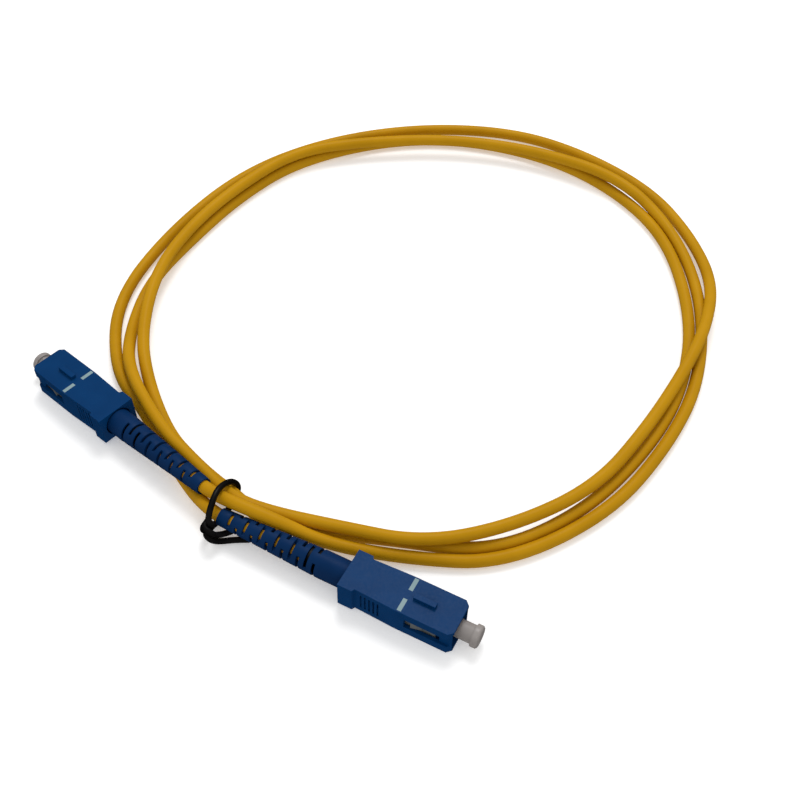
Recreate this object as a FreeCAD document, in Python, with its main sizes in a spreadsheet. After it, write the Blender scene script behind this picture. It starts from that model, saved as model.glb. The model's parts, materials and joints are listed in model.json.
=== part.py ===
import FreeCAD, Part
import math
import os
import re
import Sketcher

# Fibre optic patch cable: a simplex cable in three loose turns, held by a twist tie, with a push-pull plug
# on each end. Millimetres, +Z up. The floor is z = 0 and the tie is near the origin.
# Each plug is built about its own axis: x runs forward, 0 is the rear face of a housing that is pulled back.

Vector = FreeCAD.Vector
UP = Vector(0, 0, 1)

SIZES = {
    # cable and tie
    "cable_diameter": 3.0,
    "cable_sides": 6,
    "tie_diameter": 1.4,
    "tie_sides": 6,
    # where everything lies on the floor
    "layout_x": -0.49,
    "layout_y": 0.48,
    "plug_a_x": -33.97,
    "plug_a_y": 1.93,
    "plug_a_heading": 172.65,
    "plug_a_pitch": 2.9,
    "plug_b_x": 32.25,
    "plug_b_y": -1.445,
    "plug_b_heading": 7.3,
    "plug_b_pitch": 1.4,
    # how far each housing and each cap stands forward
    "housing_shift_a": 0.0,
    "housing_shift_b": 2.0,
    "cap_shift_a": 1.2,
    "cap_shift_b": 3.9,
    # grip housing
    "housing_length": 26.1,
    "housing_width": 9.0,
    "housing_height": 7.4,
    "rear_block_length": 3.4,
    "rear_block_swell": 0.3,
    "grip_end": 13.0,
    "grip_recess": 0.4,
    "front_corner": 1.0,
    "cavity_width": 7.2,
    "cavity_height": 5.6,
    "rear_wall": 3.0,
    "rear_hole_diameter": 6.9,
    "window_start": 15.3,
    "window_end": 23.2,
    "window_height": 2.9,
    "channel_depth": 0.6,
    "groove_count": 5,
    "groove_start": 5.0,
    "groove_pitch": 1.0,
    "groove_width": 0.45,
    "groove_depth": 0.25,
    "groove_height": 4.8,
    "mark_start": 13.5,
    "mark_length": 0.95,
    "mark_inner": 1.1,
    "mark_outer": 4.2,
    "mark_depth": 0.12,
    "key_start": 15.4,
    "key_end": 20.4,
    "key_width": 1.2,
    "key_height": 0.9,
    # plug frame
    "frame_gap": 0.2,
    "frame_start": 5.3,
    "frame_end": 24.0,
    "frame_bore_diameter": 5.0,
    "frame_front_diameter": 4.7,
    "lip_start": 16.6,
    "lip_end": 17.4,
    "lip_diameter": 3.8,
    "lug_start": 18.7,
    "lug_end": 21.2,
    "lug_height": 2.3,
    "lug_reach": 0.75,
    # ferrule, flange, spring and fibre
    "ferrule_diameter": 2.5,
    "ferrule_tip": 28.0,
    "ferrule_bevel": 0.35,
    "ferrule_seat": 14.0,
    "collar_start": 13.5,
    "collar_diameter": 4.4,
    "tail_start": 7.5,
    "tail_diameter": 1.9,
    "fibre_bore_diameter": 1.1,
    "fibre_diameter": 0.9,
    "fibre_start": -3.3,
    "fibre_end": 13.9,
    "spring_diameter": 4.2,
    "spring_wire": 0.4,
    "spring_turns": 2,
    "spring_play": 0.05,
    # spring stop, crimp ring and boot
    "stop_end": 8.6,
    "stop_plug_diameter": 4.9,
    "stop_bore_diameter": 2.3,
    "shoulder_start": 3.0,
    "shoulder_diameter": 6.0,
    "neck_start": -4.4,
    "neck_diameter": 4.0,
    "crimp_start": -8.6,
    "crimp_step": -4.8,
    "crimp_end": 2.4,
    "crimp_diameter": 5.0,
    "crimp_bore_diameter": 4.4,
    "boot_tail": -29.6,
    "boot_plain": -4.2,
    "boot_base_diameter": 6.3,
    "boot_tail_diameter": 4.0,
    "boot_chamber_end": -9.2,
    "boot_chamber_diameter": 5.3,
    "boot_bore_diameter": 3.4,
    "boot_sides": 16,
    "boot_bore_sides": 8,
    "slot_start": -26.9,
    "slot_pitch": 3.9,
    "slot_count": 6,
    "slot_width": 0.75,
    "slot_web": 2.4,
    "slot_reach": 8.0,
    "boot_turn_a": 20.0,
    "boot_turn_b": 18.0,
    # dust cap
    "cap_start": 18.8,
    "cap_diameter": 4.1,
    "cap_bore_diameter": 2.56,
    "cap_wall": 0.7,
    "cap_end_gap": 0.05,
    "knob_diameter": 5.0,
    "knob_length": 1.5,
    "knob_bevel": 0.3,
    # jacket inside the boots: its end, and the points of the route in the bore
    "jacket_end": -5.0,
    "jacket_middle": -13.6,
    "jacket_near_tail": -23.6,
    "jacket_sway": 0.1,
}

# Route of the cable outside the boots, from plug a to plug b, one turn after another.
ROUTE = [
    (-2.0, -2.2, 6.65), (4.5, -2.3, 7.95), (14.5, 0.2, 7.0), (24.5, 3.5, 2.6), (41.0, 11.0, 1.55),
    (58.7, 21.6, 1.55), (70.9, 46.0, 1.55), (72.9, 70.0, 1.55), (70.6, 92.5, 1.55), (59.2, 118.2, 1.55),
    (42.0, 139.2, 1.6), (20.6, 145.7, 5.3), (-5.3, 143.4, 4.6), (-28.5, 133.7, 4.7), (-48.4, 118.2, 4.7),
    (-61.6, 103.7, 4.7), (-65.8, 83.5, 4.7), (-66.2, 64.0, 4.7), (-62.0, 44.0, 4.9), (-49.8, 26.2, 3.6),
    (-38.8, 16.4, 1.55), (-24.0, 7.3, 1.55), (-13.5, 4.6, 1.55), (-6.5, 3.3, 1.6), (3.0, 1.85, 3.45),
    (12.5, 4.3, 1.9), (23.0, 8.4, 1.55), (36.0, 13.3, 1.55), (55.0, 22.5, 1.55), (66.0, 43.5, 1.55),
    (69.8, 68.4, 1.55), (66.8, 90.0, 1.55), (58.0, 112.0, 1.55), (40.0, 134.6, 1.55), (18.0, 143.5, 1.55),
    (-4.8, 145.8, 1.55), (-29.3, 138.2, 1.55), (-47.6, 123.6, 1.55), (-61.3, 102.4, 1.55), (-64.7, 81.8, 1.55),
    (-64.0, 62.0, 1.55), (-60.7, 42.7, 1.55), (-54.0, 25.8, 1.55), (-43.0, 14.6, 4.8), (-24.0, 5.8, 4.8),
    (-13.5, 3.5, 4.6), (-5.4, 1.5, 4.45), (2.8, 0.2, 6.1), (11.5, 2.2, 5.25), (24.5, 7.2, 4.6),
    (42.6, 14.1, 4.8), (56.4, 28.7, 4.6), (66.8, 48.2, 4.6), (67.9, 70.2, 4.6), (66.9, 90.6, 4.7),
    (65.7, 106.0, 5.2), (59.6, 125.2, 1.9), (45.7, 139.4, 1.55), (27.8, 149.5, 1.55), (3.7, 153.0, 1.55),
    (-17.8, 149.9, 1.55), (-40.9, 136.2, 1.55), (-59.5, 115.5, 1.55), (-70.3, 90.6, 1.55), (-70.8, 60.8, 1.55),
    (-64.8, 32.8, 1.55), (-48.2, 14.6, 1.55), (-32.9, 9.1, 1.55), (-25.0, 4.4, 1.55), (-17.0, -0.7, 1.55),
    (-9.9, -4.7, 2.4), (-1.4, -5.8, 5.1),
]

# Twist tie, from the short tail under plug b's boot, through the knot and round the strands, to the tail on
# the floor.
TIE = [
    (5.4, -5.0, 1.9), (4.3, -7.3, 2.3), (2.9, -9.9, 2.9), (1.1, -10.0, 2.3), (0.3, -8.4, 1.1),
    (0.7, -6.0, 0.72), (0.9, -2.4, 0.72), (1.1, 1.4, 0.72), (1.4, 4.6, 0.9), (1.6, 4.6, 3.4), (1.5, 2.3, 7.8),
    (0.6, -2.6, 10.5), (1.2, -8.0, 6.4), (1.7, -8.0, 3.4), (2.4, -8.5, 1.5), (4.4, -7.6, 0.72),
    (7.0, -5.9, 0.72), (9.6, -4.3, 0.72),
]

ARC_SHARE = 0.45

DOC = FreeCAD.newDocument("patch_cable")
SHEET = DOC.addObject("Spreadsheet::Sheet", "Sizes")
for row, (alias, number) in enumerate(SIZES.items(), start=1):
    SHEET.set(f"A{row}", alias)
    SHEET.set(f"B{row}", str(number))
    SHEET.setAlias(f"B{row}", alias)
DOC.recompute()

PIECES = []


def size(alias):
    return float(SHEET.get(alias))


def bind(text):
    """An expression written with bare size names, as the sheet knows it."""
    return re.sub(r"[a-z][a-z_]*", lambda word: "Sizes." + word.group(0), text)


def evaluate(text):
    return float(SHEET.evalExpression(text))


def new_body(label, placement):
    body = DOC.addObject("PartDesign::Body", label)
    body.Label = label
    body.Placement = placement
    PIECES.append(body)
    return body


def new_feature(label, shape, placement):
    feature = DOC.addObject("Part::Feature", label)
    feature.Label = label
    feature.Shape = shape
    feature.Placement = placement
    PIECES.append(feature)
    return feature


def new_sketch(body, name, role, offset=None):
    plane = next(item for item in body.Origin.OriginFeatures if item.Role == role)
    sketch = body.newObject("Sketcher::SketchObject", body.Name + "_" + name)
    sketch.AttachmentSupport = [(plane, "")]
    sketch.MapMode = "FlatFace"
    if offset:
        sketch.setExpression("AttachmentOffset.Base.z", bind(offset))
    return sketch


def pin(sketch, edge, axis, text):
    """Holds the start of an edge at a distance from the sketch's origin that the sheet gives."""
    kind = ("DistanceX", "DistanceY")[axis]
    value = evaluate(text)
    if abs(value) < 1e-9:
        sketch.addConstraint(Sketcher.Constraint("PointOnObject", edge, 1, (-2, -1)[axis]))
    elif value > 0:
        index = sketch.addConstraint(Sketcher.Constraint(kind, -1, 1, edge, 1, value))
        sketch.setExpression(f"Constraints[{index}]", bind(text))
    else:
        index = sketch.addConstraint(Sketcher.Constraint(kind, edge, 1, -1, 1, -value))
        sketch.setExpression(f"Constraints[{index}]", "-(" + bind(text) + ")")


def outline(sketch, corners):
    """Closes a polygon through corners, each a pair of expressions."""
    points = [Vector(evaluate(x), evaluate(y), 0) for x, y in corners]
    first = sketch.GeometryCount
    count = len(points)
    for index, point in enumerate(points):
        sketch.addGeometry(Part.LineSegment(point, points[(index + 1) % count]), False)
    for index in range(count):
        following = first + (index + 1) % count
        sketch.addConstraint(Sketcher.Constraint("Coincident", first + index, 2, following, 1))
    for index, (x, y) in enumerate(corners):
        pin(sketch, first + index, 0, x)
        pin(sketch, first + index, 1, y)


def rectangle(sketch, left, right, low, high):
    outline(sketch, [(left, low), (right, low), (right, high), (left, high)])


def circle(sketch, radius):
    edge = sketch.addGeometry(Part.Circle(Vector(0, 0, 0), UP, evaluate(radius)), False)
    sketch.addConstraint(Sketcher.Constraint("Coincident", edge, 3, -1, 1))
    index = sketch.addConstraint(Sketcher.Constraint("Radius", edge, evaluate(radius)))
    sketch.setExpression(f"Constraints[{index}]", bind(radius))


def polygon(sketch, radius, sides):
    corners = []
    for index in range(sides):
        angle = 2 * math.pi * (index + 0.5) / sides
        corners.append((f"{math.cos(angle):.6f} * {radius}", f"{math.sin(angle):.6f} * {radius}"))
    outline(sketch, corners)


def extrude(body, kind, sketch, length, both_ways=False, flipped=False):
    feature = body.newObject("PartDesign::" + kind, sketch.Name + "_" + kind.lower())
    feature.Profile = sketch
    feature.setExpression("Length", bind(length))
    if both_ways:
        feature.SideType = "Symmetric"
    feature.Reversed = flipped
    sketch.Visibility = False
    return feature


def turn(body, kind, name, corners):
    """Turns a half outline, pairs of x and radius, about the plug's axis."""
    sketch = new_sketch(body, name, "XY_Plane")
    outline(sketch, corners)
    feature = body.newObject("PartDesign::" + kind, sketch.Name + "_" + kind.lower())
    feature.Profile = sketch
    feature.ReferenceAxis = (sketch, ["H_Axis"])
    feature.Angle = 360
    return feature


def repeat(body, feature, sketch, pitch, count):
    pattern = body.newObject("PartDesign::LinearPattern", sketch.Name + "_row")
    pattern.Originals = [feature]
    pattern.Direction = (sketch, ["H_Axis"])
    pattern.setExpression("Length", bind(f"{pitch} * ({count} - 1)"))
    pattern.setExpression("Occurrences", bind(count))
    body.Tip = pattern
    return pattern


def build_housing(label, placement):
    body = new_body(label, placement)
    half = "housing_width / 2"
    top = "housing_height / 2"
    grip = half + " - grip_recess"
    swollen = half + " + rear_block_swell"
    side = [
        ("0", swollen),
        ("rear_block_length", swollen),
        ("rear_block_length + grip_recess", grip),
        ("grip_end", half),
        ("housing_length - front_corner", half),
        ("housing_length", half + " - front_corner"),
    ]
    mirrored = [(x, f"-({y})") for x, y in reversed(side)]
    block = new_sketch(body, "block", "XY_Plane")
    outline(block, side + mirrored)
    extrude(body, "Pad", block, "housing_height", both_ways=True)

    cavity = new_sketch(body, "cavity", "YZ_Plane", "rear_wall")
    rectangle(cavity, "-cavity_width / 2", "cavity_width / 2", "-cavity_height / 2", "cavity_height / 2")
    extrude(body, "Pocket", cavity, "housing_length", flipped=True)

    hole = new_sketch(body, "hole", "YZ_Plane")
    circle(hole, "rear_hole_diameter / 2")
    extrude(body, "Pocket", hole, "frame_start + frame_gap", flipped=True)

    window = new_sketch(body, "window", "XZ_Plane")
    rectangle(window, "window_start", "window_end", "-window_height / 2", "window_height / 2")
    extrude(body, "Pocket", window, "housing_width * 2", both_ways=True)

    channel = new_sketch(body, "channel", "XY_Plane")
    for across in ("", "-"):
        rectangle(channel, "window_end - channel_depth", "housing_length + front_corner",
                  f"{across}({half} - channel_depth)", f"{across}({half} + front_corner)")
    extrude(body, "Pocket", channel, "window_height", both_ways=True)

    groove = new_sketch(body, "groove", "XY_Plane")
    for across in ("", "-"):
        rectangle(groove, "groove_start", "groove_start + groove_width",
                  f"{across}({grip} - groove_depth)", f"{across}({half} + groove_depth)")
    cut = extrude(body, "Pocket", groove, "groove_height", both_ways=True)
    repeat(body, cut, groove, "groove_pitch", "groove_count")

    marks = new_sketch(body, "marks", "XY_Plane", top)
    for across in ("", "-"):
        rectangle(marks, "mark_start", "mark_start + mark_length",
                  f"{across}mark_inner", f"{across}mark_outer")
    extrude(body, "Pocket", marks, "mark_depth")

    key = new_sketch(body, "key", "XY_Plane", top)
    rectangle(key, "key_start", "key_end", "-key_width / 2", "key_width / 2")
    body.Tip = extrude(body, "Pad", key, "key_height")


def build_frame(label, placement):
    body = new_body(label, placement)
    half_width = "cavity_width / 2 - frame_gap"
    half_height = "cavity_height / 2 - frame_gap"
    block = new_sketch(body, "block", "YZ_Plane", "frame_start")
    rectangle(block, f"-({half_width})", half_width, f"-({half_height})", half_height)
    extrude(body, "Pad", block, "frame_end - frame_start")

    lug = new_sketch(body, "lug", "XY_Plane")
    for across in ("", "-"):
        outline(lug, [
            ("lug_start", f"{across}({half_width} - frame_gap)"),
            ("lug_end", f"{across}({half_width} - frame_gap)"),
            ("lug_end", f"{across}({half_width} + frame_gap)"),
            ("lug_start", f"{across}({half_width} + lug_reach)"),
        ])
    extrude(body, "Pad", lug, "lug_height", both_ways=True)

    body.Tip = turn(body, "Groove", "bore", [
        ("frame_start - frame_gap", "0"),
        ("frame_end + frame_gap", "0"),
        ("frame_end + frame_gap", "frame_front_diameter / 2"),
        ("lip_end", "frame_front_diameter / 2"),
        ("lip_end", "lip_diameter / 2"),
        ("lip_start", "lip_diameter / 2"),
        ("lip_start", "frame_bore_diameter / 2"),
        ("frame_start - frame_gap", "frame_bore_diameter / 2"),
    ])


def build_ferrule(label, placement):
    turn(new_body(label, placement), "Revolution", "pin", [
        ("ferrule_seat", "0"),
        ("ferrule_tip", "0"),
        ("ferrule_tip", "ferrule_diameter / 2 - ferrule_bevel"),
        ("ferrule_tip - ferrule_bevel", "ferrule_diameter / 2"),
        ("ferrule_seat", "ferrule_diameter / 2"),
    ])


def build_flange(label, placement):
    turn(new_body(label, placement), "Revolution", "collar", [
        ("tail_start", "fibre_bore_diameter / 2"),
        ("ferrule_seat", "fibre_bore_diameter / 2"),
        ("ferrule_seat", "ferrule_diameter / 2"),
        ("lip_start - frame_gap", "ferrule_diameter / 2"),
        ("lip_start - frame_gap", "collar_diameter / 2"),
        ("collar_start", "collar_diameter / 2"),
        ("collar_start", "tail_diameter / 2"),
        ("tail_start", "tail_diameter / 2"),
    ])


def build_spring(label, placement):
    """A coil of square wire between the spring stop and the flange's collar."""
    wire = size("spring_wire")
    start = size("stop_end") + size("spring_play") + wire / 2
    rise = size("collar_start") - size("spring_play") - wire / 2 - start
    radius = (size("spring_diameter") - wire) / 2
    helix = Part.makeHelix(rise / size("spring_turns"), rise, radius)
    corners = [(-1, -1), (1, -1), (1, 1), (-1, 1), (-1, -1)]
    square = [Vector(radius + x * wire / 2, 0, z * wire / 2) for x, z in corners]
    coil = Part.Wire(helix).makePipeShell([Part.makePolygon(square)], True, True)
    along_axis = FreeCAD.Placement(Vector(start, 0, 0), FreeCAD.Rotation(UP, Vector(1, 0, 0)))
    new_feature(label, coil, placement.multiply(along_axis))


def build_stop(label, placement):
    turn(new_body(label, placement), "Revolution", "stop", [
        ("neck_start", "stop_bore_diameter / 2"),
        ("stop_end", "stop_bore_diameter / 2"),
        ("stop_end", "stop_plug_diameter / 2"),
        ("frame_start", "stop_plug_diameter / 2"),
        ("frame_start", "shoulder_diameter / 2"),
        ("shoulder_start", "shoulder_diameter / 2"),
        ("shoulder_start", "neck_diameter / 2"),
        ("neck_start", "neck_diameter / 2"),
    ])


def build_crimp(label, placement):
    turn(new_body(label, placement), "Revolution", "sleeve", [
        ("crimp_start", "cable_diameter / 2"),
        ("crimp_step", "cable_diameter / 2"),
        ("crimp_step", "crimp_bore_diameter / 2"),
        ("crimp_end", "crimp_bore_diameter / 2"),
        ("crimp_end", "crimp_diameter / 2"),
        ("crimp_start", "crimp_diameter / 2"),
    ])


def build_boot(label, placement):
    """A slotted sleeve. Its many flat sides keep the mesh of all those slots light."""
    body = new_body(label, placement)
    outer = int(size("boot_sides"))
    inner = int(size("boot_bore_sides"))
    tail = new_sketch(body, "tail", "YZ_Plane", "boot_tail")
    polygon(tail, "boot_tail_diameter / 2", outer)
    base = new_sketch(body, "base", "YZ_Plane", "boot_plain")
    polygon(base, "boot_base_diameter / 2", outer)
    extrude(body, "Pad", base, "shoulder_start - boot_plain")
    taper = body.newObject("PartDesign::AdditiveLoft", body.Name + "_taper")
    taper.Profile = base
    taper.Sections = [tail]
    taper.Ruled = True

    bore = new_sketch(body, "bore", "YZ_Plane", "boot_tail")
    polygon(bore, "boot_bore_diameter / 2", inner)
    extrude(body, "Pocket", bore, "shoulder_start - boot_tail", flipped=True)
    chamber = new_sketch(body, "chamber", "YZ_Plane", "boot_chamber_end")
    polygon(chamber, "boot_chamber_diameter / 2", outer)
    extrude(body, "Pocket", chamber, "shoulder_start - boot_chamber_end", flipped=True)

    rows = [
        ("top_slots", "XZ_Plane", "slot_start"),
        ("side_slots", "XY_Plane", "slot_start + slot_pitch / 2"),
    ]
    for name, role, start in rows:
        sketch = new_sketch(body, name, role)
        for across in ("", "-"):
            rectangle(sketch, start, start + " + slot_width",
                      f"{across}slot_web / 2", f"{across}slot_reach / 2")
        cut = extrude(body, "Pocket", sketch, "slot_reach", both_ways=True)
        repeat(body, cut, sketch, "slot_pitch", "slot_count")


def build_cap(label, placement):
    inner_end = "ferrule_tip + cap_end_gap"
    tip = inner_end + " + cap_wall"
    turn(new_body(label, placement), "Revolution", "cap", [
        ("cap_start", "cap_bore_diameter / 2"),
        (inner_end, "cap_bore_diameter / 2"),
        (inner_end, "0"),
        (tip, "0"),
        (tip, "knob_diameter / 2 - knob_bevel"),
        (tip + " - knob_bevel", "knob_diameter / 2"),
        (tip + " - knob_length", "knob_diameter / 2"),
        (tip + " - knob_length", "cap_diameter / 2"),
        ("cap_start", "cap_diameter / 2"),
    ])


def build_fibre(label, placement):
    fibre = DOC.addObject("Part::Cylinder", label)
    fibre.Label = label
    fibre.setExpression("Radius", bind("fibre_diameter / 2"))
    fibre.setExpression("Height", bind("fibre_end - fibre_start"))
    start = Vector(size("fibre_start"), 0, 0)
    along_axis = FreeCAD.Placement(start, FreeCAD.Rotation(UP, Vector(1, 0, 0)))
    fibre.Placement = placement.multiply(along_axis)
    PIECES.append(fibre)


def forward(placement, distance):
    return placement.multiply(FreeCAD.Placement(Vector(distance, 0, 0), FreeCAD.Rotation()))


def rolled(placement, angle):
    return placement.multiply(FreeCAD.Placement(Vector(), FreeCAD.Rotation(Vector(1, 0, 0), angle)))


def plug_placement(end):
    """The plug lies nose down: the lower front edge of its housing is on the floor."""
    pitch = size(f"plug_{end}_pitch")
    slope = math.radians(pitch)
    nose = size("housing_length") + size(f"housing_shift_{end}")
    height = nose * math.sin(slope) + size("housing_height") / 2 * math.cos(slope)
    x = size(f"plug_{end}_x") + size("layout_x")
    y = size(f"plug_{end}_y") + size("layout_y")
    heading = FreeCAD.Rotation(UP, size(f"plug_{end}_heading"))
    lean = FreeCAD.Rotation(Vector(0, 1, 0), pitch)
    return FreeCAD.Placement(Vector(x, y, height), heading.multiply(lean))


def build_plug(end):
    placement = plug_placement(end)
    build_housing("grip_housing_" + end, forward(placement, size("housing_shift_" + end)))
    build_frame("plug_frame_" + end, placement)
    build_ferrule("ferrule_" + end, placement)
    build_flange("ferrule_flange_" + end, placement)
    build_spring("spring_" + end, placement)
    build_stop("spring_stop_" + end, placement)
    build_crimp("crimp_ring_" + end, placement)
    build_boot("boot_" + end, rolled(placement, size("boot_turn_" + end)))
    build_cap("dust_cap_" + end, forward(placement, size("cap_shift_" + end)))
    build_fibre("buffered_fibre_" + end, placement)
    return placement


def rounded_path(points):
    """Straight runs joined by arcs as large as the shorter run at each point allows."""
    edges = []
    radii = []
    last = points[0]
    for before, point, after in zip(points, points[1:], points[2:]):
        back = before.sub(point)
        ahead = after.sub(point)
        reach = ARC_SHARE * min(back.Length, ahead.Length)
        back.normalize()
        ahead.normalize()
        half_turn = (math.pi - back.getAngle(ahead)) / 2
        radius = reach / math.tan(half_turn)
        inward = back.add(ahead).normalize()
        middle = point.add(inward.multiply(radius / math.cos(half_turn) - radius))
        start = point.add(back.multiply(reach))
        end = point.add(ahead.multiply(reach))
        edges.append(Part.LineSegment(last, start).toShape())
        edges.append(Part.Arc(start, middle, end).toShape())
        radii.append(radius)
        last = end
    edges.append(Part.LineSegment(last, points[-1]).toShape())
    return Part.Wire(edges), radii


def section(points, diameter, sides):
    """A regular polygon across the start of a path, its corners on the diameter."""
    ahead = points[1].sub(points[0]).normalize()
    across = ahead.cross(UP).normalize()
    spoke = across.multiply(diameter / 2)
    corners = []
    for index in range(sides + 1):
        around = FreeCAD.Rotation(ahead, 360 / sides * (index + 0.5))
        corners.append(points[0].add(around.multVec(spoke)))
    return Part.makePolygon(corners)


def build_tube(label, points, diameter, sides):
    path, radii = rounded_path(points)
    tube = path.makePipeShell([section(points, diameter, sides)], True, False)
    area = sides / 8 * diameter ** 2 * math.sin(2 * math.pi / sides)
    whole = area * path.Length
    print(f"{label}: length {path.Length:.1f}, volume {tube.Volume / whole:.4f} of section times length")
    print(f"{label}: radii " + " ".join(f"{radius:.1f}" for radius in radii))
    new_feature(label, tube, FreeCAD.Placement())


def bore_points(placement, sway):
    """The jacket's points in a boot, from its end to the tail."""
    middle = Vector(size("jacket_middle"), sway, 0)
    stations = [Vector(size("jacket_end"), 0, 0), middle, Vector(size("jacket_near_tail"), 0, 0)]
    return [placement.multVec(station) for station in stations]


plug_a = build_plug("a")
plug_b = build_plug("b")

layout = Vector(size("layout_x"), size("layout_y"), 0)
route = [Vector(*point).add(layout) for point in ROUTE]
start_points = bore_points(plug_a, size("jacket_sway"))
end_points = bore_points(plug_b, size("jacket_sway"))
build_tube("cable", start_points + route + end_points[::-1], size("cable_diameter"), int(size("cable_sides")))
tie = [Vector(*point).add(layout) for point in TIE]
build_tube("twist_tie", tie, size("tie_diameter"), int(size("tie_sides")))

DOC.recompute()

os.makedirs("parts", exist_ok=True)
for item in DOC.Objects:
    if "Invalid" in item.State or "Error" in item.State:
        raise RuntimeError(item.Label + " did not build")
for piece in PIECES:
    if piece.Shape.isNull() or not piece.Shape.isValid():
        raise RuntimeError(piece.Label + " has no valid shape")
    piece.Shape.exportStep(f"parts/{piece.Label}.step")
    print(f"{piece.Label}: volume {piece.Shape.Volume:.2f}, solids {len(piece.Shape.Solids)}")
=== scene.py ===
import json
import math

import bmesh
import bpy
from mathutils import Matrix, Vector


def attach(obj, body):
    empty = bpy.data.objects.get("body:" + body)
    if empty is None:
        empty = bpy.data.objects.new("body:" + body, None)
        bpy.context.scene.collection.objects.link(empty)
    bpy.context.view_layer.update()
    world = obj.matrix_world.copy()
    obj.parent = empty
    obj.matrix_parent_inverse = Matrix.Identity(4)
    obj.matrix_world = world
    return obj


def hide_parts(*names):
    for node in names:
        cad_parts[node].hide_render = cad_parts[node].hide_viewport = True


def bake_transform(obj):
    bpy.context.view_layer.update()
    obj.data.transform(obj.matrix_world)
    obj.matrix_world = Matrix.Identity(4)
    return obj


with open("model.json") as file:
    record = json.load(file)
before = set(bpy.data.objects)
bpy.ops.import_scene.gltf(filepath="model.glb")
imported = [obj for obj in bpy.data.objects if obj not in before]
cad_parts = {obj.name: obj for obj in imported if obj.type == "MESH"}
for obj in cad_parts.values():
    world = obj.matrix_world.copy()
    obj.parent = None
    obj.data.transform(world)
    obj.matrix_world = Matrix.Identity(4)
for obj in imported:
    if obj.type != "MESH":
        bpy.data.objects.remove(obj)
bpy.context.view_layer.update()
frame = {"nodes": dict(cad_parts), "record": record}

# The fibre optic patch cable with its materials, light, floor and camera.
# Sizes are in millimetres, in the part's own frame unless a plug's frame is named.
MM = 0.001
UP = Vector((0, 0, 1))
LAYOUT = Vector((-0.49, 0.48, 0.0))

CAMERA_AT = Vector((119.46, -105.05, 219.97))
CAMERA_AIM = Vector((13.5, 47.7, 0.0))
CAMERA_LENS = 53.91
CAMERA_SENSOR = 36.0
CAMERA_NEAR = 5.0

# Light and floor, with lengths in metres and the lamp's power in watts.
WHITE = (1.0, 1.0, 1.0, 1.0)
WORLD_STRENGTH = 0.75
LAMP_AT = (-0.24, 0.56, 1.04)
LAMP_SIZE = 0.5
LAMP_POWER = 5.6
FLOOR_HALF = 40.0
FLOOR_LEVEL = -0.00002
FLOOR_GLOW = 0.3

# How meshes are cleaned: corners within SAME_PLACE, in metres, and faces within SAME_PLANE are joined.
SAME_PLACE = 1e-7
SAME_PLANE = math.radians(1)

# How edges are rounded: those sharper than SHARP are. Faces of a housing above FLAT_AREA, in square metres,
# are shaded flat.
SHARP = math.radians(32)
FLAT_AREA = 0.5e-6
ROUNDING_STEPS = 2
HOUSING_ROUNDING = 0.14
BOOT_ROUNDING = 0.03
CAP_ROUNDING = 0.08

# How fine the tubes of the cable and the tie are.
TUBE_STEPS = 10
TUBE_ROUNDNESS = 6
TUBE_ORDER = 3

# Materials: the noise values that a ramp runs between, the grain's height in metres, the caps' plastic.
RAMP_LOW = 0.3
RAMP_HIGH = 0.7
GRAIN_HEIGHT = 0.00006
CAP_TRANSMISSION = 0.25
CAP_IOR = 1.49

CABLE_DIAMETER = 3.0
TIE_DIAMETER = 1.4
HOUSING_LENGTH = 26.1
HOUSING_HEIGHT = 7.4
HOUSING_SHIFT = {"a": 0.0, "b": 2.0}

# The two bars on top of a housing lie in recesses. The last two values are a bar's height and the depth of
# its middle, as shares of the recess.
MARK_START = 13.5
MARK_LENGTH = 0.95
MARK_INNER = 1.1
MARK_OUTER = 4.2
MARK_DEPTH = 0.12
MARK_FILL = 0.9
MARK_MIDDLE = 0.55

# A boot, along the plug. It is turned about its axis, in degrees, and its bore widens to a chamber.
BOOT_TAIL = -29.6
BOOT_PLAIN = -4.2
BOOT_FRONT = 3.0
BOOT_CHAMBER = -9.2
BOOT_CHAMBER_STEP = 0.05
BOOT_TAIL_RADIUS = 2.0
BOOT_BASE_RADIUS = 3.15
BOOT_BORE_RADIUS = 1.7
BOOT_CHAMBER_RADIUS = 2.65
BOOT_TURN = {"a": 20.0, "b": 18.0}
BOOT_ARC_STEPS = 4
SLOT_START = -26.9
SLOT_PITCH = 3.9
SLOT_COUNT = 6
SLOT_WIDTH = 0.75
SLOT_WEB = 1.2

# Arcs of a boot that a slot cuts away. Webs stay on both sides in one slot, above and below in the next.
SLOT_ARCS = ({1, 2, 3, 5, 6, 7}, {0, 1, 3, 4, 5, 7})

# Stations of the jacket in a boot, along the plug, and how far its middle sways.
JACKET_END = -5.0
JACKET_MIDDLE = -13.6
JACKET_NEAR_TAIL = -23.6
JACKET_SWAY = 0.1

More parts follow.
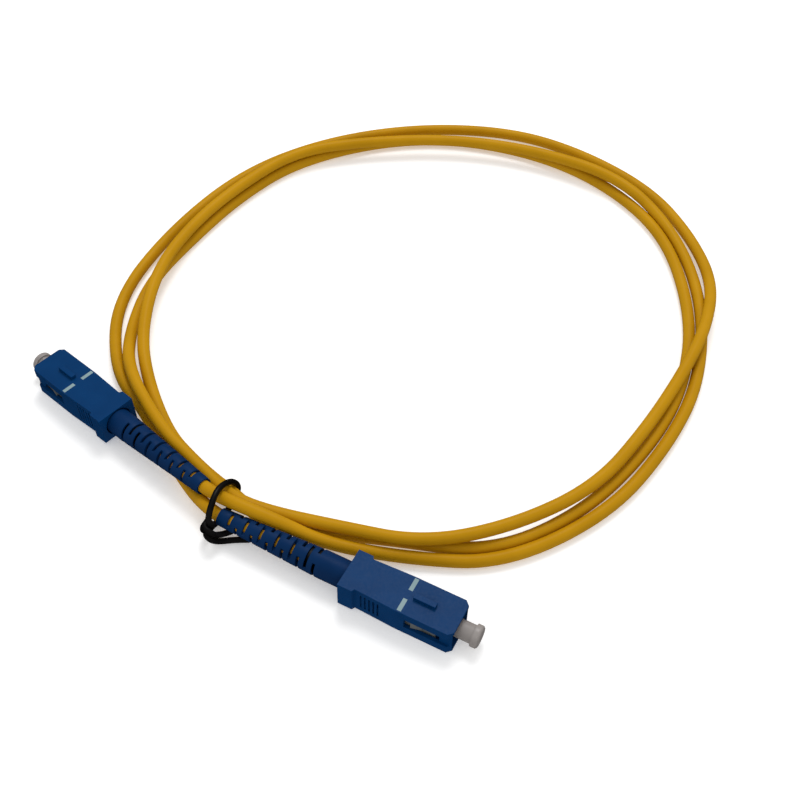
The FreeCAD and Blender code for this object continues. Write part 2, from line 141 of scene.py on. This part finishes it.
# Route of the cable outside the boots, from plug a to plug b, one turn after another.
ROUTE = [
    (-2.0, -2.2, 6.65), (4.5, -2.2, 7.95), (14.5, 0.0, 6.9), (24.5, 3.3, 2.6),
    (41.0, 11.0, 1.55), (58.7, 21.6, 1.55), (70.9, 46.0, 1.55), (73.0, 70.0, 1.55),
    (70.6, 92.5, 1.55), (59.2, 118.1, 1.55), (41.4, 137.8, 1.6), (20.6, 145.7, 5.3),
    (-5.3, 143.4, 4.6), (-28.5, 133.7, 4.7), (-48.4, 118.2, 4.7), (-61.6, 103.7, 4.7),
    (-65.2, 83.4, 4.7), (-65.4, 64.0, 4.7), (-60.9, 44.2, 4.9), (-49.8, 26.2, 3.6),
    (-38.8, 16.4, 1.55), (-24.0, 7.3, 1.55), (-13.5, 4.6, 1.55), (-6.5, 3.3, 1.6),
    (1.8, 1.75, 3.42), (10.4, 0.4, 1.55), (22.4, 6.2, 1.55), (36.0, 13.3, 1.55),
    (55.2, 22.3, 1.55), (66.4, 43.3, 1.55), (69.95, 68.5, 1.55), (67.8, 90.2, 1.55),
    (58.8, 112.4, 1.55), (40.3, 135.0, 1.55), (18.4, 144.6, 1.55), (-4.8, 145.8, 1.55),
    (-29.3, 138.2, 1.55), (-47.6, 123.6, 1.55), (-61.3, 102.4, 1.55), (-64.7, 81.8, 1.55),
    (-64.2, 62.0, 1.55), (-62.2, 42.4, 1.55), (-53.9, 26.0, 1.55), (-43.0, 14.6, 4.8),
    (-24.0, 5.8, 4.8), (-13.5, 3.5, 4.6), (-5.4, 1.5, 4.63), (2.8, -0.3, 5.85),
    (11.5, 2.0, 5.1), (24.5, 7.2, 4.6), (42.6, 14.1, 4.8), (56.0, 29.0, 4.6),
    (65.9, 48.6, 4.6), (67.4, 70.2, 4.6), (66.7, 90.6, 4.7), (65.0, 105.8, 5.3),
    (58.9, 124.5, 2.7), (45.4, 138.9, 1.55), (27.8, 149.5, 1.55), (3.7, 153.0, 1.55),
    (-17.8, 149.9, 1.55), (-40.9, 136.2, 1.55), (-59.5, 115.5, 1.55), (-70.3, 90.6, 1.55),
    (-70.8, 60.8, 1.55), (-64.8, 32.8, 1.55), (-48.2, 14.6, 1.55), (-32.9, 9.1, 1.55),
    (-25.0, 4.8, 1.55), (-16.0, 1.0, 1.55), (-8.3, -2.3, 2.2), (-1.8, -4.6, 4.4),
    (2.9, -5.2, 4.95),
]

# Twist tie: one wire from the short tail under plug b's boot, through the knot, round the strands and
# through the knot again to the tail on the floor.
TIE_SHORT_TAIL = [(5.6, -5.4, 1.9), (5.0, -7.4, 2.7), (4.4, -9.0, 3.9)]
TIE_RING = [
    (1.5, -9.6, 5.2), (1.0, -9.2, 2.6), (0.8, -6.0, 0.8), (0.9, -2.4, 0.72), (0.2, 1.4, 0.72),
    (-0.9, 4.6, 0.85), (-1.0, 4.7, 3.1), (-0.5, 2.1, 7.4), (0.4, -2.6, 10.4), (1.8, -7.0, 8.8),
]
TIE_LONG_TAIL = [(4.1, -10.2, 3.0), (4.8, -8.6, 1.2), (7.0, -6.1, 0.72), (9.6, -4.3, 0.72)]
TIE_KNOT = ((2.4, -8.4, 7.0), (3.7, -10.0, 4.5))
KNOT_RADIUS = 0.8
KNOT_TURNS = 0.75
KNOT_STEPS = 8
KNOT_START_SHORT = math.radians(270)
KNOT_START_LONG = math.radians(90)

MOUNTS = {mount["name"]: mount for mount in frame["record"]["mounts"]}
BODY = "cable_and_plugs"


def plug_matrix(end):
    """The plug's own frame: x runs forward from the rear face of a housing that is pulled back."""
    nose = MOUNTS[f"plug_{end}_nose"]
    ahead = Vector(nose["axis"]).normalized()
    left = UP.cross(ahead).normalized()
    origin = Vector(nose["pos_m"]) - ahead * (HOUSING_LENGTH + HOUSING_SHIFT[end]) * MM
    return Matrix.Translation(origin) @ Matrix((ahead, left, ahead.cross(left))).transposed().to_4x4()


PLUG = {end: plug_matrix(end) for end in "ab"}


def on_plug(end, x, y=0.0):
    return PLUG[end] @ (Vector((x, y, 0.0)) * MM)


def make_camera():
    data = bpy.data.cameras.new("photo_camera")
    data.lens = CAMERA_LENS
    data.sensor_width = CAMERA_SENSOR
    data.clip_start = CAMERA_NEAR * MM
    camera = bpy.data.objects.new("photo_camera", data)
    camera.location = (CAMERA_AT + LAYOUT) * MM
    camera.rotation_euler = (CAMERA_AIM - CAMERA_AT).to_track_quat("-Z", "Y").to_euler()
    bpy.context.scene.collection.objects.link(camera)
    bpy.context.scene.camera = camera


def shader_of(material):
    return next(item for item in material.node_tree.nodes if item.type == "BSDF_PRINCIPLED")


def add_noise(tree, scale, detail=3.0):
    place = tree.nodes.new("ShaderNodeTexCoord")
    noise = tree.nodes.new("ShaderNodeTexNoise")
    noise.inputs["Scale"].default_value = scale
    noise.inputs["Detail"].default_value = detail
    tree.links.new(place.outputs["Object"], noise.inputs["Vector"])
    return noise.outputs["Fac"]


def add_ramp(tree, factor, stops):
    """A colour ramp between two stops, each a place and a colour or a grey."""
    ramp = tree.nodes.new("ShaderNodeValToRGB")
    for element, (place, colour) in zip(ramp.color_ramp.elements, stops):
        element.position = place
        element.color = (*colour, 1.0) if isinstance(colour, tuple) else (colour, colour, colour, 1.0)
    tree.links.new(factor, ramp.inputs["Fac"])
    return ramp.outputs["Color"]


def add_bump(tree, height, strength, distance):
    bump = tree.nodes.new("ShaderNodeBump")
    bump.inputs["Strength"].default_value = strength
    bump.inputs["Distance"].default_value = distance
    tree.links.new(height, bump.inputs["Height"])
    return bump.outputs["Normal"]


def moulded(name, dark, light, rough, gloss=0.12, grain=0.10, cloud_scale=180.0, grain_scale=2600.0):
    """Plastic with cloudy colour, a fine moulded grain and uneven gloss."""
    material = bpy.data.materials.new(name)
    material.use_nodes = True
    tree, shader = material.node_tree, shader_of(material)
    cloud = add_noise(tree, cloud_scale)
    fine = add_noise(tree, grain_scale, detail=2.0)
    colour = add_ramp(tree, cloud, [(RAMP_LOW, dark), (RAMP_HIGH, light)])
    roughness = add_ramp(tree, fine, [(RAMP_LOW, rough[0]), (RAMP_HIGH, rough[1])])
    tree.links.new(colour, shader.inputs["Base Color"])
    tree.links.new(roughness, shader.inputs["Roughness"])
    tree.links.new(add_bump(tree, fine, grain, GRAIN_HEIGHT), shader.inputs["Normal"])
    shader.inputs["Specular IOR Level"].default_value = gloss
    return material


def metal(name, dark, light, rough):
    """Turned or drawn metal with fine scratches."""
    material = moulded(name, dark, light, rough,
                       gloss=0.5, grain=0.06, cloud_scale=400.0, grain_scale=6000.0)
    shader_of(material).inputs["Metallic"].default_value = 1.0
    return material


def translucent(name, dark, light, rough):
    """Soft milky plastic that lets some light through."""
    material = moulded(name, dark, light, rough, gloss=0.3, grain=0.08, cloud_scale=300.0)
    shader_of(material).inputs["Transmission Weight"].default_value = CAP_TRANSMISSION
    shader_of(material).inputs["IOR"].default_value = CAP_IOR
    return material


MATERIALS = {
    "jacket": moulded(
        "jacket", (0.48, 0.238, 0.003), (0.54, 0.272, 0.005), (0.36, 0.46),
        gloss=0.06, grain=0.06, cloud_scale=90.0, grain_scale=1500.0),
    "tie_coating": moulded(
        "tie_coating", (0.004, 0.004, 0.004), (0.009, 0.008, 0.008), (0.38, 0.52), gloss=0.2),
    "housing_plastic": moulded(
        "housing_plastic", (0.0005, 0.033, 0.122), (0.001, 0.039, 0.140), (0.34, 0.46), gloss=0.065),
    "boot_rubber": moulded(
        "boot_rubber", (0.001, 0.022, 0.086), (0.002, 0.027, 0.102), (0.42, 0.55), gloss=0.07),
    # The frame's dark grey is painted shade: the real frame is white, and it is darkened to the shade it
    # lies in inside the housing's window.
    "frame_plastic": moulded(
        "frame_plastic", (0.11, 0.12, 0.12), (0.15, 0.16, 0.16), (0.35, 0.45), gloss=0.2),
    "ferrule_ceramic": moulded(
        "ferrule_ceramic", (0.80, 0.79, 0.76), (0.88, 0.87, 0.84), (0.12, 0.20), gloss=0.5, grain=0.02),
    "flange_steel": metal("flange_steel", (0.50, 0.49, 0.47), (0.62, 0.61, 0.58), (0.22, 0.36)),
    "spring_steel": metal("spring_steel", (0.48, 0.48, 0.48), (0.60, 0.60, 0.60), (0.18, 0.30)),
    "stop_plastic": moulded("stop_plastic", (0.30, 0.30, 0.29), (0.38, 0.38, 0.36), (0.38, 0.48)),
    # The crimp's near-black colour is painted shade, so that it looks dark through the boot's slots; a real
    # crimp is bright metal.
    "crimp_metal": metal("crimp_metal", (0.03, 0.03, 0.03), (0.05, 0.05, 0.05), (0.60, 0.75)),
    "cap_plastic": translucent("cap_plastic", (0.37, 0.335, 0.32), (0.43, 0.395, 0.375), (0.30, 0.42)),
    "fibre_buffer": moulded("fibre_buffer", (0.74, 0.73, 0.68), (0.84, 0.83, 0.79), (0.40, 0.50)),
    "mark_paint": moulded("mark_paint", (0.21, 0.31, 0.33), (0.26, 0.36, 0.38), (0.45, 0.60)),
}


def add_piece(name, data, material, slot, body, *nodes):
    """A piece that rides on a body, if one is given, and stands for the nodes."""
    piece = bpy.data.objects.new(name, data)
    bpy.context.scene.collection.objects.link(piece)
    data.materials.append(MATERIALS[material])
    if body:
        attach(piece, body)
    if nodes:
        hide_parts(*nodes)
    return piece


def laid(points):
    return [(Vector(point) + LAYOUT) * MM for point in points]


def cable_points():
    """The whole way of the jacket, with the stations in both boots."""
    stations = [(JACKET_END, 0.0), (JACKET_MIDDLE, JACKET_SWAY), (JACKET_NEAR_TAIL, 0.0)]
    start = [on_plug("a", x, y) for x, y in stations]
    end = [on_plug("b", x, y) for x, y in reversed(stations)]
    return start + laid(ROUTE) + end


def nurbs_tube(name, points, diameter):
    """A round tube that starts and ends on the points, and runs near the others."""
    curve = bpy.data.curves.new(name, "CURVE")
    curve.dimensions = "3D"
    curve.resolution_u = TUBE_STEPS
    curve.bevel_depth = diameter / 2 * MM
    curve.bevel_resolution = TUBE_ROUNDNESS
    curve.use_fill_caps = True
    spline = curve.splines.new("NURBS")
    spline.points.add(len(points) - 1)
    for control, point in zip(spline.points, points):
        control.co = (*point, 1.0)
    spline.order_u = TUBE_ORDER
    spline.use_endpoint_u = True
    return curve


def make_cable():
    curve = nurbs_tube("cable_jacket", cable_points(), CABLE_DIAMETER)
    cable = add_piece("cable_jacket", curve, "jacket", "jacket", BODY, "cable")


def knot_turn(start):
    """One wire's way along the knot, from the ring to its tail. It starts at the given angle."""
    first, last = (Vector(point) for point in TIE_KNOT)
    ahead = (last - first).normalized()
    side = ahead.cross(UP).normalized()
    above = side.cross(ahead)
    points = []
    for step in range(KNOT_STEPS + 1):
        share = step / KNOT_STEPS
        angle = start + math.tau * KNOT_TURNS * share
        outward = side * math.cos(angle) + above * math.sin(angle)
        points.append(first.lerp(last, share) + outward * KNOT_RADIUS)
    return points


def make_tie():
    inward = knot_turn(KNOT_START_SHORT)[::-1]
    wire = TIE_SHORT_TAIL + inward + TIE_RING + knot_turn(KNOT_START_LONG) + TIE_LONG_TAIL
    curve = nurbs_tube("tie_wire", laid(wire), TIE_DIAMETER)
    add_piece("tie_wire", curve, "tie_coating", "tie_coating", BODY, "twist_tie")


def sharp_edges(mesh):
    return [edge for edge in mesh.edges if edge.is_manifold and edge.calc_face_angle() > SHARP]


def soften(mesh, edges, width):
    bmesh.ops.bevel(mesh, geom=edges, offset=width * MM, offset_type="OFFSET", segments=ROUNDING_STEPS,
                    profile=0.5, affect="EDGES", clamp_overlap=True)


def finished(mesh, name):
    """Turns an edited mesh into data for a piece, smooth apart from its sharp edges."""
    for face in mesh.faces:
        face.smooth = True
    data = bpy.data.meshes.new(name)
    mesh.to_mesh(data)
    mesh.free()
    data.set_sharp_from_angle(angle=SHARP)
    return data


def node_mesh(node):
    """An editable copy of a node's shape, its flat faces joined up."""
    mesh = bmesh.new()
    mesh.from_mesh(frame["nodes"][node].data)
    bmesh.ops.remove_doubles(mesh, verts=mesh.verts, dist=SAME_PLACE)
    bmesh.ops.dissolve_limit(mesh, angle_limit=SAME_PLANE, verts=mesh.verts, edges=mesh.edges)
    return mesh


def make_housing(end):
    """The housing with its edges rounded, apart from those of the recesses for the bars."""
    to_plug = PLUG[end].inverted()
    top = HOUSING_HEIGHT / 2

    def on_mark(corner):
        place = to_plug @ corner.co / MM
        along = place.x - HOUSING_SHIFT[end] - MARK_START
        return -MARK_DEPTH < along < MARK_LENGTH + MARK_DEPTH and place.z > top - 2 * MARK_DEPTH

    node = f"grip_housing_{end}"
    mesh = node_mesh(node)
    edges = [edge for edge in sharp_edges(mesh) if not all(map(on_mark, edge.verts))]
    soften(mesh, edges, HOUSING_ROUNDING)
    data = finished(mesh, node + "_soft")
    for face in data.polygons:
        face.use_smooth = face.area < FLAT_AREA
    add_piece(node + "_soft", data, "housing_plastic", "housing_plastic", f"housing_{end}", node)


def make_marks(end):
    """The two white bars that fill the recesses on top of a housing."""
    mesh = bmesh.new()
    sides = Vector((MARK_LENGTH, MARK_OUTER - MARK_INNER, MARK_DEPTH * MARK_FILL))
    along = MARK_START + HOUSING_SHIFT[end] + MARK_LENGTH / 2
    height = HOUSING_HEIGHT / 2 - MARK_DEPTH * MARK_MIDDLE
    for across in (1, -1):
        centre = Vector((along, across * (MARK_INNER + MARK_OUTER) / 2, height))
        place = PLUG[end] @ Matrix.Translation(centre * MM) @ Matrix.Diagonal((*(sides * MM), 1.0))
        bmesh.ops.create_cube(mesh, size=1.0, matrix=place)
    data = bpy.data.meshes.new(f"mark_bars_{end}")
    mesh.to_mesh(data)
    mesh.free()
    add_piece(f"mark_bars_{end}", data, "mark_paint", "frame_plastic", f"housing_{end}")


def boot_ring(x, radius):
    """Points round a boot in eight arcs: four over the webs of the slots take turns with four between."""
    web = math.asin(SLOT_WEB / radius)
    points = []
    for quarter in range(4):
        middle = quarter * math.pi / 2
        for first, last in ((middle - web, middle + web), (middle + web, middle + math.pi / 2 - web)):
            for step in range(BOOT_ARC_STEPS):
                angle = first + (last - first) * step / BOOT_ARC_STEPS
                points.append(Vector((x, radius * math.cos(angle), radius * math.sin(angle))))
    return points


def make_boot(end):
    """A round tapered sleeve with cross slots, cut in turn from above and below and from both sides."""
    slots = []
    stations = {BOOT_TAIL, BOOT_CHAMBER, BOOT_CHAMBER + BOOT_CHAMBER_STEP, BOOT_PLAIN, BOOT_FRONT}
    for number in range(2 * SLOT_COUNT):
        start = SLOT_START + number * SLOT_PITCH / 2
        slots.append((start, SLOT_ARCS[number % 2]))
        stations |= {start, start + SLOT_WIDTH}
    stations = sorted(stations)
    around = 8 * BOOT_ARC_STEPS

    place = PLUG[end] @ Matrix.Rotation(math.radians(BOOT_TURN[end]), 4, "X")
    mesh = bmesh.new()
    outside, inside = [], []
    for x in stations:
        share = min((x - BOOT_TAIL) / (BOOT_PLAIN - BOOT_TAIL), 1.0)
        outer = BOOT_TAIL_RADIUS + (BOOT_BASE_RADIUS - BOOT_TAIL_RADIUS) * share
        inner = BOOT_BORE_RADIUS if x <= BOOT_CHAMBER else BOOT_CHAMBER_RADIUS
        outside.append([mesh.verts.new(place @ (point * MM)) for point in boot_ring(x, outer)])
        inside.append([mesh.verts.new(place @ (point * MM)) for point in boot_ring(x, inner)])

    def solid(row, column):
        if not 0 <= row < len(stations) - 1:
            return False
        middle = (stations[row] + stations[row + 1]) / 2
        arc = column % around // BOOT_ARC_STEPS
        return not any(start < middle < start + SLOT_WIDTH and arc in cut for start, cut in slots)

    for row in range(len(stations) - 1):
        for column in range(around):
            if not solid(row, column):
                continue
            after = (column + 1) % around
            corners = [(row, column), (row + 1, column), (row + 1, after), (row, after)]
            mesh.faces.new([outside[i][j] for i, j in corners])
            mesh.faces.new([inside[i][j] for i, j in reversed(corners)])
            beside = [(row, column - 1), (row + 1, column), (row, column + 1), (row - 1, column)]
            for number, neighbour in enumerate(beside):
                if not solid(*neighbour):
                    (i, j), (k, m) = corners[number], corners[(number + 1) % 4]
                    mesh.faces.new([outside[k][m], outside[i][j], inside[i][j], inside[k][m]])
    loose = [vert for vert in mesh.verts if not vert.link_faces]
    bmesh.ops.delete(mesh, geom=loose, context="VERTS")
    bmesh.ops.recalc_face_normals(mesh, faces=mesh.faces)
    soften(mesh, sharp_edges(mesh), BOOT_ROUNDING)
    node = f"boot_{end}"
    data = finished(mesh, node + "_round")
    add_piece(node + "_round", data, "boot_rubber", "boot_rubber", BODY, node)


def make_cap(end):
    node = f"dust_cap_{end}"
    mesh = node_mesh(node)
    soften(mesh, sharp_edges(mesh), CAP_ROUNDING)
    data = finished(mesh, node + "_soft")
    add_piece(node + "_soft", data, "cap_plastic", "cap_plastic", f"cap_{end}", node)


def make_spring(end):
    """The spring, whose front coil rests on the ferrule. It is a smooth-shaded copy of its node, fixed
    where it lies.
    """
    node = f"spring_{end}"
    data = finished(node_mesh(node), node + "_soft")
    spring = add_piece(node + "_soft", data, "spring_steel", "spring_steel", None, node)
    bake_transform(spring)


def finish_node(node, slot):
    """A node that keeps its own shape gets its material."""
    item = frame["nodes"][node]
    item.data.materials.clear()
    item.data.materials.append(MATERIALS[slot])


def make_stage():
    world = bpy.data.worlds.new("studio")
    bpy.context.scene.world = world
    world.use_nodes = True
    world.node_tree.nodes["Background"].inputs["Color"].default_value = WHITE
    world.node_tree.nodes["Background"].inputs["Strength"].default_value = WORLD_STRENGTH
    world.cycles_visibility.glossy = False

    lamp = bpy.data.lights.new("ceiling", "AREA")
    lamp.shape = "DISK"
    lamp.size = LAMP_SIZE
    lamp.energy = LAMP_POWER
    light = bpy.data.objects.new("ceiling", lamp)
    light.location = LAMP_AT
    light.rotation_euler = (-light.location).to_track_quat("-Z", "Y").to_euler()
    bpy.context.scene.collection.objects.link(light)

    corners = [(x * FLOOR_HALF, y * FLOOR_HALF, 0) for x, y in ((-1, -1), (1, -1), (1, 1), (-1, 1))]
    floor_mesh = bpy.data.meshes.new("floor")
    floor_mesh.from_pydata(corners, [], [(0, 1, 2, 3)])
    floor = bpy.data.objects.new("floor", floor_mesh)
    floor.location.z = FLOOR_LEVEL
    paper = moulded("floor", (0.86, 0.86, 0.86), (0.88, 0.88, 0.88), (0.7, 0.8),
                    gloss=0.0, grain=0.0, cloud_scale=20.0)
    shader_of(paper).inputs["Emission Color"].default_value = WHITE
    shader_of(paper).inputs["Emission Strength"].default_value = FLOOR_GLOW
    floor_mesh.materials.append(paper)
    floor.visible_diffuse = False
    floor.visible_glossy = False
    bpy.context.scene.collection.objects.link(floor)
    bpy.context.scene.view_settings.view_transform = "Standard"


make_camera()
make_stage()
make_cable()
make_tie()
for end in "ab":
    make_housing(end)
    make_marks(end)
    make_boot(end)
    make_cap(end)
    make_spring(end)

# How the names of nodes begin that a piece stands for. The other nodes keep their own shape.
REDRAWN = ("cable", "twist_tie", "grip_housing", "boot", "dust_cap", "spring_a", "spring_b")
SLOTS = {item["node"]: item["material_slot"] for item in frame["record"]["subparts"]}
for node in frame["nodes"]:
    if not node.startswith(REDRAWN):
        finish_node(node, SLOTS[node])
